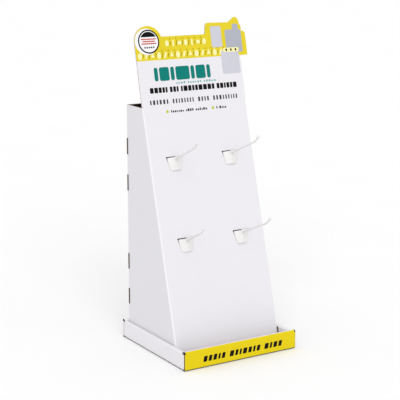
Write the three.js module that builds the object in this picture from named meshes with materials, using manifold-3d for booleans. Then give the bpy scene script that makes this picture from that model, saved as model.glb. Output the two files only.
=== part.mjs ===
// Countertop display of folded corrugated board with four moulded peg hooks.
// Millimetres, +Z up, the lip of the base tray towards -Y. The origin is the centre of the tray's underside.
import * as THREE from 'three';
import { mergeVertices } from 'three/addons/utils/BufferGeometryUtils.js';
import Module from 'manifold-3d';

const wasm = await Module();
wasm.setup();

// Board
const boardThickness = 3;
const creaseRadius = 1;
const creaseSteps = 5;
const sheetPlay = 0.3;

// Base tray
const trayWidth = 280;
const trayDepth = 268;
const sideWallHeight = 38.5;
const endWallHeight = 41.5;
const cornerFlapLength = 64;
const cornerFlapDrop = 3.5;
const trayTabWidth = 42;
const trayTabPitch = 130;

// Display body
const bodyInTrayPlay = 0.4;
const lipToFrontPanel = 44;
const bodyTopDepth = 72;
const bodyTopHeight = 523;
const rearFlangeWidth = 46;
const frontTabWidth = 40;
const frontTabPitch = 130;

// Header, its heights measured up its own slope from the crease at the top of the body
const headerLean = 13.1;
const bandBottom = 99;
const bandTop = 148.6;
const lobeRadius = 33.5;
const lobeHeight = 139;
const earWidth = 101;
const earReach = 19;
const earShoulderHeight = 173;
const earStepHeight = 152;
const earStepInset = 9.5;
const earCornerRadius = 7;
const earCornerEnd = 169.2;
const earShoulderFall = 1;
const knobRadius = 9;
const knobEnd = 144;
const knobInset = 5;
const knobHeight = 174;

// Back panel and its locking tabs
const backPanelPlay = 0.5;
const backTabLength = 35;
const backTabProud = 1.5;
const backTabPairSpacing = 80;
const lowerTabPairHeight = 137;
const upperTabPairHeight = 393;

// Peg hooks, their heights measured up the front panel's slope from the level of the tray's underside
const hookPitchAcross = 140;
const lowerHookHeight = 245;
const upperHookHeight = 419;
const plateTopWidth = 37;
const plateBottomWidth = 26;
const plateHeight = 28;
const plateCornerRadius = 2.5;
const plateRim = 1.6;
const plateWall = 1.6;
const ridgeAtTop = 8.5;
const ridgeAtBottom = 5;
const ridgeSharpness = 1.25;
const cutoutTopWidth = 41;
const cutoutBottomWidth = 24;
const cutoutAbovePlate = 2;
const cutoutBottomOverlap = 3;
const neckWall = 2.2;
const neckPlay = 0.4;
const neckHeight = 10;
const flangeThickness = 2;
const flangeOverlap = 2.5;
const rodRadius = 1.7;
const rodLength = 101;
const rodRise = 23.2;
const rodRootBelowTop = 5;
const rodTipLength = 14;
const rodTipBend = 24;
const rootBossRadius = 3.4;
const rootBossLength = 10;
const ballRadius = 2.7;

// How far each rod leans sideways in degrees, as its hook sits in its own cut-out
const rodSkew = { upper_left: -4.4, upper_right: 1.2, lower_left: -10.5, lower_right: 1.6 };

// Worked out from the sizes above
const radians = THREE.MathUtils.degToRad;
const outerRadius = creaseRadius + boardThickness;
const wallWidth = 3 * boardThickness + 2 * sheetPlay;
const halfTray = trayWidth / 2;
const halfTrayDepth = trayDepth / 2;
const standHeight = boardThickness + sheetPlay;
const halfBody = halfTray - wallWidth - bodyInTrayPlay;
const bodyRear = halfTrayDepth - wallWidth - bodyInTrayPlay;
const frontFoot = lipToFrontPanel - halfTrayDepth;
const frontTop = bodyRear - bodyTopDepth;
const frontLean = Math.atan((frontTop - frontFoot) / bodyTopHeight);
const backPanelRear = bodyRear - boardThickness - sheetPlay;
const farCut = 2 * bodyTopHeight;

const across = new THREE.Vector3(1, 0, 0);
const rearward = new THREE.Vector3(0, 1, 0);
const up = new THREE.Vector3(0, 0, 1);
const upFrontPanel = new THREE.Vector3(0, Math.sin(frontLean), Math.cos(frontLean));
const upHeader = new THREE.Vector3(0, Math.sin(radians(headerLean)), Math.cos(radians(headerLean)));
const frontPanelFoot = new THREE.Vector3(0, frontFoot, 0);
const headerCrease = new THREE.Vector3(0, frontTop, bodyTopHeight);

// A closed geometry becomes a solid that can be joined and cut
function solidFrom(geometry) {
  const bare = geometry.clone();
  bare.deleteAttribute('normal');
  bare.deleteAttribute('uv');
  const merged = mergeVertices(bare, 1e-4);
  const vertProperties = Float32Array.from(merged.attributes.position.array);
  const triVerts = Uint32Array.from(merged.index.array);
  return new wasm.Manifold(new wasm.Mesh({ numProp: 3, vertProperties, triVerts }));
}

// A solid goes back to a three.js geometry
function geometryFrom(solid) {
  const mesh = solid.getMesh();
  const positions = new Float32Array(mesh.numVert * 3);
  for (let i = 0; i < mesh.numVert; i += 1) {
    for (let axis = 0; axis < 3; axis += 1) {
      positions[3 * i + axis] = mesh.vertProperties[mesh.numProp * i + axis];
    }
  }
  const geometry = new THREE.BufferGeometry();
  geometry.setAttribute('position', new THREE.BufferAttribute(positions, 3));
  geometry.setIndex(new THREE.BufferAttribute(Uint32Array.from(mesh.triVerts), 1));
  geometry.computeVertexNormals();
  return geometry;
}

// Solids joined to one
function joined(solids) {
  return solids.reduce((sum, next) => sum.add(next));
}

// A solid and its mirror image across the plane through the origin with this normal
function withMirror(solid, normal) {
  return solid.add(solid.mirror(normal));
}

// A box given by its lowest and highest corners
function boxBetween(low, high) {
  const size = high.map((value, axis) => value - low[axis]);
  const geometry = new THREE.BoxGeometry(...size);
  geometry.translate(...high.map((value, axis) => (value + low[axis]) / 2));
  return solidFrom(geometry);
}

// A flat outline in two directions is carried from one level to another along the third
function carried(shape, xDirection, yDirection, from, to, origin = new THREE.Vector3()) {
  const depth = to - from;
  const geometry = new THREE.ExtrudeGeometry(shape, { depth, bevelEnabled: false, curveSegments: 10 });
  geometry.translate(0, 0, from);
  const axis = new THREE.Vector3().crossVectors(xDirection, yDirection);
  const placing = new THREE.Matrix4().makeBasis(xDirection, yDirection, axis);
  placing.setPosition(origin);
  geometry.applyMatrix4(placing);
  return solidFrom(geometry);
}

// Outlines drawn as (y, z), (x, z) and (x, y)
const alongX = (shape, from, to) => carried(shape, rearward, up, from, to);
const alongY = (shape, from, to) => carried(shape, across, up, -to, -from);
const alongZ = (shape, from, to) => carried(shape, across, rearward, from, to);

// A straight-sided outline
function polygon(points) {
  return new THREE.Shape(points.map(([x, y]) => new THREE.Vector2(x, y)));
}

// The edge view of a folded board. The path runs along one face with the board on its left,
// and each corner is a crease whose inside has the crease radius.
function foldedBoard(path) {
  const points = path.map(([x, y]) => new THREE.Vector2(x, y));
  const last = points.length - 1;
  const face = [];
  const back = [];
  points.forEach((point, i) => {
    const before = point.clone().sub(points[Math.max(i - 1, 0)]).normalize();
    const after = points[Math.min(i + 1, last)].clone().sub(point).normalize();
    const heading = i === 0 ? after : before;
    const left = new THREE.Vector2(-heading.y, heading.x);
    if (i === 0 || i === last) {
      face.push(point);
      back.push(point.clone().addScaledVector(left, boardThickness));
      return;
    }
    const turn = Math.atan2(before.cross(after), before.dot(after));
    const side = Math.sign(turn);
    const faceRadius = side > 0 ? outerRadius : creaseRadius;
    const backRadius = side > 0 ? creaseRadius : outerRadius;
    const centre = point.clone().addScaledVector(before, -faceRadius * Math.tan(Math.abs(turn) / 2));
    centre.addScaledVector(left, side * faceRadius);
    for (let k = 0; k <= creaseSteps; k += 1) {
      const spoke = left.clone().multiplyScalar(-side);
      spoke.rotateAround(new THREE.Vector2(), (turn * k) / creaseSteps);
      face.push(centre.clone().addScaledVector(spoke, faceRadius));
      back.push(centre.clone().addScaledVector(spoke, backRadius));
    }
  });
  return new THREE.Shape([...face, ...back.reverse()]);
}

// Base tray: one sheet with a floor, four walls rolled over to two plies, and a corner flap from each end
// of the side walls tucked between the plies of the lip and of the rear wall
function tray() {
  const bend = 2 * outerRadius;
  const sideInner = halfTray - wallWidth;
  const endInner = halfTrayDepth - wallWidth;
  const flapFace = halfTrayDepth - boardThickness - sheetPlay;
  const foldStart = flapFace - outerRadius;
  const cornerTop = sideWallHeight - cornerFlapDrop;

  const floor = boxBetween(
    [outerRadius - halfTray, outerRadius - halfTrayDepth, 0],
    [halfTray - outerRadius, halfTrayDepth - outerRadius, boardThickness],
  );

  const sideOuterPly = alongY(
    foldedBoard([[halfTray - bend, 0], [halfTray, 0], [halfTray, cornerTop]]),
    -foldStart,
    foldStart,
  );
  const sideRoll = alongY(
    foldedBoard([[halfTray, outerRadius], [halfTray, sideWallHeight], [sideInner, sideWallHeight],
      [sideInner, standHeight]]),
    sheetPlay - endInner,
    endInner - sheetPlay,
  );

  const endOuterPly = alongX(
    foldedBoard([[halfTrayDepth - bend, 0], [halfTrayDepth, 0], [halfTrayDepth, endWallHeight],
      [endInner, endWallHeight], [endInner, endWallHeight - outerRadius - sheetPlay]]),
    -halfTray,
    halfTray,
  );
  const endInnerPly = boxBetween(
    [outerRadius - halfTray, endInner, standHeight],
    [halfTray - outerRadius, endInner + boardThickness, endWallHeight - outerRadius],
  );

  const cornerFlap = alongZ(
    foldedBoard([[halfTray, foldStart - bend], [halfTray, flapFace],
      [halfTray - cornerFlapLength, flapFace]]),
    outerRadius,
    cornerTop,
  );

  const side = sideOuterPly.add(sideRoll);
  const end = endOuterPly.add(endInnerPly);
  let sheet = joined([
    floor,
    withMirror(side, [1, 0, 0]),
    withMirror(end, [0, 1, 0]),
    withMirror(withMirror(cornerFlap, [1, 0, 0]), [0, 1, 0]),
  ]);

  // Tabs of the inner plies lock into slots in the floor, and two more slots take the front panel's tabs
  for (const centre of [-trayTabPitch / 2, trayTabPitch / 2]) {
    const low = centre - trayTabWidth / 2;
    const high = centre + trayTabWidth / 2;
    const slots = [
      boxBetween([sideInner - sheetPlay, low - sheetPlay, -farCut],
        [sideInner + boardThickness + sheetPlay, high + sheetPlay, standHeight]),
      boxBetween([low - sheetPlay, endInner - sheetPlay, -farCut],
        [high + sheetPlay, endInner + boardThickness + sheetPlay, standHeight]),
    ];
    const tabTop = outerRadius + boardThickness;
    const tabs = [
      boxBetween([sideInner, low, sheetPlay], [sideInner + boardThickness, high, tabTop]),
      boxBetween([low, endInner, sheetPlay], [high, endInner + boardThickness, tabTop]),
    ];
    sheet = sheet.subtract(withMirror(slots[0], [1, 0, 0])).subtract(withMirror(slots[1], [0, 1, 0]));
    sheet = sheet.add(withMirror(tabs[0], [1, 0, 0])).add(withMirror(tabs[1], [0, 1, 0]));
  }
  const slotFront = frontFoot - sheetPlay;
  const frontBack = frontFoot + standHeight * Math.tan(frontLean) + boardThickness / Math.cos(frontLean);
  const slotRear = frontBack + sheetPlay;
  const halfSlot = frontTabWidth / 2 + sheetPlay;
  const frontSlot = boxBetween(
    [frontTabPitch / 2 - halfSlot, slotFront, -farCut],
    [frontTabPitch / 2 + halfSlot, slotRear, standHeight],
  );
  return sheet.subtract(withMirror(frontSlot, [1, 0, 0]));
}

// Heights of the four tabs up each side of the back panel
function backTabLevels() {
  return [lowerTabPairHeight, upperTabPairHeight].flatMap((pair) => [
    pair - backTabPairSpacing / 2,
    pair + backTabPairSpacing / 2,
  ]);
}

// The sloped front with its two creased corners, cut level at its foot but for the tabs
function frontAndCorners() {
  const legLength = 4 * outerRadius;
  const wrap = carried(
    foldedBoard([[-halfBody, legLength], [-halfBody, 0], [halfBody, 0], [halfBody, legLength]]),
    across,
    new THREE.Vector3(0, upFrontPanel.z, -upFrontPanel.y),
    -legLength,
    bodyTopHeight / upFrontPanel.z + legLength,
    frontPanelFoot,
  );
  const keep = boxBetween([-farCut, -farCut, standHeight], [farCut, farCut, bodyTopHeight]);
  const tab = boxBetween(
    [(frontTabPitch - frontTabWidth) / 2, frontFoot - legLength, sheetPlay],
    [(frontTabPitch + frontTabWidth) / 2, frontFoot + legLength, bodyTopHeight / 2],
  );
  return wrap.intersect(keep.add(withMirror(tab, [1, 0, 0])));
}

// The right side with its rear flange and the slots for the back panel's tabs
function sidePanel() {
  const overlap = 2 * outerRadius / upFrontPanel.z;
  const frontAt = (z) => frontFoot + z * Math.tan(frontLean) + overlap;
  const rear = bodyRear - 2 * outerRadius;
  const outline = polygon([
    [frontAt(standHeight), standHeight],
    [rear, standHeight],
    [rear, bodyTopHeight],
    [frontAt(bodyTopHeight), bodyTopHeight],
  ]);
  const panel = alongX(outline, halfBody - boardThickness, halfBody);
  const corner = alongZ(
    foldedBoard([[halfBody, rear - outerRadius], [halfBody, bodyRear],
      [halfBody - rearFlangeWidth, bodyRear]]),
    standHeight,
    bodyTopHeight,
  );
  const halfSlot = backTabLength / 2 + sheetPlay;
  const slots = backTabLevels().map((level) => boxBetween(
    [halfBody - outerRadius, backPanelRear - boardThickness - sheetPlay, level - halfSlot],
    [halfBody + outerRadius, backPanelRear + sheetPlay, level + halfSlot],
  ));
  return panel.add(corner).subtract(joined(slots));
}

// The die-cut header: a straight top edge with a round lobe at the left and a stepped ear at the right
function headerOutline() {
  const earLeft = halfBody + earReach - earWidth;
  const earRight = halfBody + earReach;
  const stepX = earRight - earStepInset;
  const knobX = stepX - knobInset - knobRadius;
  const lobeX = lobeRadius - halfBody;
  const lobeEnd = Math.asin((bandTop - lobeHeight) / lobeRadius);
  const r = earCornerRadius;
  const shape = new THREE.Shape();
  shape.moveTo(-halfBody, 0);
  shape.lineTo(halfBody, 0);
  shape.lineTo(halfBody, bandBottom);
  shape.lineTo(earRight, bandBottom);
  shape.lineTo(earRight, earStepHeight - r);
  shape.absarc(earRight - r, earStepHeight - r, r, 0, Math.PI / 2, false);
  shape.lineTo(stepX, earStepHeight);
  shape.lineTo(stepX, knobHeight - knobRadius - r / 2);
  shape.absarc(stepX - r, knobHeight - knobRadius - r / 2, r, 0, Math.PI / 3, false);
  shape.absarc(knobX, knobHeight, knobRadius, 0, radians(knobEnd), false);
  shape.lineTo(knobX - 2 * knobRadius, earShoulderHeight - earShoulderFall);
  shape.lineTo(earLeft + 2 * r, earShoulderHeight);
  shape.absarc(earLeft + r, earShoulderHeight - r, r, Math.PI / 2, radians(earCornerEnd), false);
  shape.lineTo(earLeft - r / 2, bandTop);
  shape.absarc(lobeX, lobeHeight, lobeRadius, lobeEnd, Math.PI, false);
  shape.closePath();
  return shape;
}

// The header: its crease leans it back less than the front, and its root reaches down to the front's edge
function header() {
  const cutDepth = 6 * boardThickness;
  const above = headerCrease.clone().addScaledVector(upHeader, 2 * bandTop);
  const below = headerCrease.clone().addScaledVector(upFrontPanel, -outerRadius);
  const strip = alongX(
    foldedBoard([above, headerCrease, below].map((point) => [point.y, point.z])),
    -halfBody - 2 * earReach,
    halfBody + 2 * earReach,
  );
  const dieCut = carried(headerOutline(), across, upHeader, -cutDepth, cutDepth, headerCrease);
  const root = polygon([
    [outerRadius - halfBody, -outerRadius],
    [halfBody - outerRadius, -outerRadius],
    [halfBody - outerRadius, outerRadius],
    [outerRadius - halfBody, outerRadius],
  ]);
  return strip.intersect(dieCut.add(carried(root, across, upHeader, -cutDepth, cutDepth, headerCrease)));
}

// Where each hook's plate has its middle: across the front panel and up its slope
const hookPlaces = {
  upper_left: [-hookPitchAcross / 2, upperHookHeight],
  upper_right: [hookPitchAcross / 2, upperHookHeight],
  lower_left: [-hookPitchAcross / 2, lowerHookHeight],
  lower_right: [hookPitchAcross / 2, lowerHookHeight],
};

// Ends of a hook's cut-out from the middle of its plate
const cutoutTop = plateHeight / 2 + cutoutAbovePlate;
const cutoutBottom = cutoutBottomOverlap - plateHeight / 2;

// Half width of the tapered cut-out at a height above the middle of the hook's plate
function cutoutHalfWidth(height) {
  const rise = (height - cutoutBottom) / (cutoutTop - cutoutBottom);
  return THREE.MathUtils.lerp(cutoutBottomWidth, cutoutTopWidth, rise) / 2;
}

// A tapered outline that follows the cut-out's sides, grown by a margin
function taper(low, high, margin) {
  const atLow = cutoutHalfWidth(low) + margin;
  const atHigh = cutoutHalfWidth(high) + margin;
  return polygon([[-atLow, low], [atLow, low], [atHigh, high], [-atHigh, high]]);
}

// Display body: one sheet that runs from a rear flange round the left side, the sloped front with its header,
// and the right side to the other rear flange
function displayBody() {
  const sides = withMirror(sidePanel(), [1, 0, 0]);
  const sheet = joined([frontAndCorners(), sides, header()]);
  const cutouts = Object.values(hookPlaces).map(([x, height]) => {
    const centre = frontPanelFoot.clone().addScaledVector(upFrontPanel, height).setX(x);
    const cut = 2 * outerRadius;
    return carried(taper(cutoutBottom, cutoutTop, 0), across, upFrontPanel, -cut, cut, centre);
  });
  return sheet.subtract(joined(cutouts));
}

// Back panel: a flat sheet behind the rear flanges' line, locked by tabs through slots in the sides
function backPanel() {
  const reach = halfBody - boardThickness - backPanelPlay;
  const tabReach = halfBody + backTabProud;
  const sheet = boxBetween(
    [-reach, backPanelRear - boardThickness, standHeight],
    [reach, backPanelRear, bodyTopHeight],
  );
  const tabs = backTabLevels().map((level) => boxBetween(
    [-tabReach, backPanelRear - boardThickness, level - backTabLength / 2],
    [tabReach, backPanelRear, level + backTabLength / 2],
  ));
  return joined([sheet, ...tabs]);
}

// A closed skin over rings of equal length, each ring running anticlockwise seen from above the last one
function loft(rings) {
  const count = rings[0].length;
  const positions = rings.flat().flatMap((point) => point.toArray());
  const index = [];
  for (let r = 0; r + 1 < rings.length; r += 1) {
    for (let i = 0; i < count; i += 1) {
      const a = r * count + i;
      const b = r * count + ((i + 1) % count);
      index.push(a, b, b + count, a, b + count, a + count);
    }
  }
  const cap = (ring, offset, flip) => {
    const flat = ring.map((point) => new THREE.Vector2(point.x, -point.z));
    for (const [a, b, c] of THREE.ShapeUtils.triangulateShape(flat, [])) {
      index.push(offset + a, offset + (flip ? c : b), offset + (flip ? b : c));
    }
  };
  cap(rings[0], 0, true);
  cap(rings[rings.length - 1], (rings.length - 1) * count, false);
  const geometry = new THREE.BufferGeometry();
  geometry.setAttribute('position', new THREE.Float32BufferAttribute(positions, 3));
  geometry.setIndex(index);
  return solidFrom(geometry);
}

// The shield plate, tented to a ridge that stands out most at the top. A margin thins it all round
// for the hollow behind it. Its own frame: x across, y up the panel, z out of the panel.
function tent(margin, backZ) {
  const steps = 12;
  const rings = [];
  const low = margin - plateHeight / 2;
  const high = plateHeight / 2 - margin;
  const rounding = [0, 0.3, 1];
  const levels = [
    ...rounding.map((part) => low + part * plateCornerRadius),
    ...rounding.map((part) => high - part * plateCornerRadius).reverse(),
  ];
  for (const level of levels) {
    const rise = level / plateHeight + 0.5;
    const fromEnd = Math.min(level - low, high - level, plateCornerRadius);
    const sag = plateCornerRadius - Math.sqrt(plateCornerRadius ** 2 - (plateCornerRadius - fromEnd) ** 2);
    const halfWidth = THREE.MathUtils.lerp(plateBottomWidth, plateTopWidth, rise) / 2 - margin - sag;
    const ridge = THREE.MathUtils.lerp(ridgeAtBottom, ridgeAtTop, rise) - margin - sag / 2;
    const rim = plateRim - sag / 2;
    const ring = [new THREE.Vector3(-halfWidth, level, backZ), new THREE.Vector3(halfWidth, level, backZ)];
    for (let i = 0; i <= steps; i += 1) {
      const t = 1 - (2 * i) / steps;
      const height = rim + (ridge - rim) * (1 - Math.abs(t) ** ridgeSharpness);
      ring.push(new THREE.Vector3(t * halfWidth, level, height));
    }
    rings.push(ring.reverse());
  }
  return loft(rings);
}

// The rod in the hook's frame: a boss that thins to the rod, a knee near the end, and a ball at the tip
function hookRod(skew) {
  const rise = radians(rodRise) - frontLean;
  const lean = radians(skew);
  const heading = (angle) => new THREE.Vector3(
    Math.sin(lean) * Math.cos(angle),
    Math.sin(angle),
    Math.cos(lean) * Math.cos(angle),
  );
  const root = new THREE.Vector3(0, plateHeight / 2 - rodRootBelowTop, plateRim + plateWall);
  const straight = heading(rise);
  const bendEnd = heading(rise + radians(rodTipBend));
  const knee = root.clone().addScaledVector(straight, rodLength);
  const tip = knee.clone().addScaledVector(bendEnd, rodTipLength);
  const path = new THREE.CurvePath();
  const before = knee.clone().addScaledVector(straight, -rodTipLength / 2);
  const after = knee.clone().addScaledVector(bendEnd, rodTipLength / 2);
  path.add(new THREE.LineCurve3(root, before));
  path.add(new THREE.QuadraticBezierCurve3(before, knee, after));
  path.add(new THREE.LineCurve3(after, tip));
  const section = new THREE.Shape().absarc(0, 0, rodRadius, 0, 2 * Math.PI);
  const rod = new THREE.ExtrudeGeometry(section, { steps: 30, curveSegments: 5, extrudePath: path });
  const ball = new THREE.SphereGeometry(ballRadius, 12, 8);
  ball.translate(tip.x, tip.y, tip.z);
  const bossLength = ridgeAtTop + rootBossLength;
  const boss = new THREE.CylinderGeometry(rodRadius, rootBossRadius, bossLength, 14);
  boss.translate(0, bossLength / 2, 0);
  boss.applyQuaternion(new THREE.Quaternion().setFromUnitVectors(rearward, straight));
  boss.translate(root.x, root.y, root.z);
  return joined([solidFrom(rod), solidFrom(ball), solidFrom(boss)]);
}

// One moulding: hollow shield plate, keystone neck through the board, flange behind it, and the rod
function pegHook(skew) {
  const plate = tent(0, sheetPlay).subtract(tent(plateWall, -boardThickness));
  const behind = -sheetPlay - boardThickness;
  const neckLow = cutoutBottom + neckPlay;
  const neckTop = cutoutBottom + neckHeight;
  const hollow = carried(taper(neckLow + neckWall, plateHeight, -neckPlay - neckWall), across, rearward,
    -farCut, farCut);
  const neck = carried(taper(neckLow, neckTop, -neckPlay), across, rearward, behind, ridgeAtTop);
  const flange = carried(taper(neckLow - flangeOverlap, neckTop, flangeOverlap), across, rearward,
    behind - flangeThickness, behind);
  const insidePlate = tent(plateWall / 2, behind);
  const neckWalls = neck.intersect(insidePlate).subtract(hollow);
  return joined([plate, neckWalls, flange.subtract(hollow), hookRod(skew)]);
}

// Colours
const whiteBoard = new THREE.MeshStandardMaterial({ color: 0xf2f1f4, roughness: 0.62, metalness: 0 });
const kraftBoard = new THREE.MeshStandardMaterial({ color: 0xb8916a, roughness: 0.85, metalness: 0 });
const hookPlastic = new THREE.MeshStandardMaterial({ color: 0xf3f1e6, roughness: 0.4, metalness: 0 });

const display = new THREE.Group();

// Adds a solid to the display as a named piece
function place(name, solid, material) {
  const mesh = new THREE.Mesh(geometryFrom(solid), material.clone());
  mesh.name = name;
  display.add(mesh);
  return mesh;
}

place('base_tray', tray(), whiteBoard);
place('display_body', displayBody(), whiteBoard);
place('back_panel', backPanel(), kraftBoard);
for (const [spot, [x, height]] of Object.entries(hookPlaces)) {
  const hook = place(`hook_${spot}`, pegHook(rodSkew[spot]), hookPlastic);
  hook.position.copy(frontPanelFoot).addScaledVector(upFrontPanel, height).setX(x);
  hook.rotation.x = Math.PI / 2 - frontLean;
}

export default display;
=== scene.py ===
"""Looks of a countertop display of folded corrugated board with moulded peg hooks.

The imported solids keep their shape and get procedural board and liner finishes. The ink fields, the
counter, the lights and the camera are made here, and finer moulded hooks stand for the plain ones.
Lengths are metres, +Z is up and the lip of the tray faces -Y.
"""
import logging
import math
from dataclasses import dataclass, field
from enum import Enum
from typing import Callable, Union

import bpy
import numpy as np
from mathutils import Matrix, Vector


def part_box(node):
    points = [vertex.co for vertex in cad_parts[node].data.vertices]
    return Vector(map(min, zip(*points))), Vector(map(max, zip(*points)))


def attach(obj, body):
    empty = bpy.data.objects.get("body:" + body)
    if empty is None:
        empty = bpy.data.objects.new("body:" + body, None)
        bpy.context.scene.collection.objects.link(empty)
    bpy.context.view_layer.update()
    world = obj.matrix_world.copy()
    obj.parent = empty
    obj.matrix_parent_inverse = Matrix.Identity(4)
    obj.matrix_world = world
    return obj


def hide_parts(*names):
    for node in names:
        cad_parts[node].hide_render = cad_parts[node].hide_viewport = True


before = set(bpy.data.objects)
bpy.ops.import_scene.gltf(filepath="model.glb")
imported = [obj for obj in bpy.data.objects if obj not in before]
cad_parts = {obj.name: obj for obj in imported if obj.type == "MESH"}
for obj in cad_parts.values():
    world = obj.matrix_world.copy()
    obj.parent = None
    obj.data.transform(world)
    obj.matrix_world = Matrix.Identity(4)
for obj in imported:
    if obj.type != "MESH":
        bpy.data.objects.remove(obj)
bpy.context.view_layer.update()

LOG = logging.getLogger("display")
MM = 0.001
ROOT = "root"

Socket = bpy.types.NodeSocket
Feed = Union[Socket, float]
Colour = tuple[float, float, float]


# Sizes shared by the classes below


@dataclass(frozen=True)
class BoardSizes:
    """Sizes of the folded board that the solids were cut from.

    Args:
        thickness: Caliper of the board.
        crease: Outside radius of a crease.
        wall: Width of a rolled tray wall.
        flute: Pitch of the corrugation.
    """

    thickness: float = 3 * MM
    crease: float = 4 * MM
    wall: float = 9.6 * MM
    flute: float = 6.4 * MM


@dataclass(frozen=True)
class DisplaySizes:
    """Where the sloped panels of the display lie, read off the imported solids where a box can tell.

    Args:
        foot_y: Place of the front panel's face at the level of the counter.
        top_y: Place of the front panel's face at the top of the body.
        top_z: Height of the top of the body.
        header_lean: Lean of the header in radians.
        band_bottom: Lower edge of the coloured band, up the header's slope.
    """

    foot_y: float = -90 * MM
    top_y: float = 52 * MM
    top_z: float = 523 * MM
    header_lean: float = math.radians(13.1)
    band_bottom: float = 99 * MM

    @property
    def front_lean(self) -> float:
        """Lean of the front panel in radians."""
        return math.atan((self.top_y - self.foot_y) / self.top_z)

    @property
    def front_length(self) -> float:
        """Length of the front panel's face up its slope, from the counter to the crease."""
        return self.top_z / math.cos(self.front_lean)

    @property
    def half_body(self) -> float:
        """Half of the body's width."""
        return -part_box("display_body")[0].x

    @property
    def body_rear(self) -> float:
        """Place of the rear flanges' outer face."""
        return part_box("display_body")[1].y

    @property
    def tray(self) -> Vector:
        """Half width, half depth and height of the tray."""
        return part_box("base_tray")[1]


BOARD = BoardSizes()
DISPLAY = DisplaySizes()


@dataclass(frozen=True)
class PanelFrame:
    """A flat panel's own directions: across, up its slope and out of its face.

    Args:
        origin: A point on the panel's face.
        lean: How far the panel leans back, in radians.
    """

    origin: tuple[float, float, float]
    lean: float

    def axes(self) -> np.ndarray:
        """Rows of unit vectors across, up and out of the panel."""
        s, c = math.sin(self.lean), math.cos(self.lean)
        return np.array([[1.0, 0.0, 0.0], [0.0, s, c], [0.0, -c, s]])

    def place(self, points: np.ndarray) -> np.ndarray:
        """Turns points given as across, up and out into world points.

        Args:
            points: Array of shape (n, 3) in the panel's own directions.

        Returns:
            Array of shape (n, 3) in the display's frame.
        """
        return np.asarray(self.origin) + points @ self.axes()


FRONT = PanelFrame((0.0, DISPLAY.foot_y, 0.0), DISPLAY.front_lean)
HEADER = PanelFrame((0.0, DISPLAY.top_y, DISPLAY.top_z), DISPLAY.header_lean)


# Shader graphs

NUMBER = "NodeSocketFloat"
COLOUR = "NodeSocketColor"
VECTOR = "NodeSocketVector"


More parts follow.
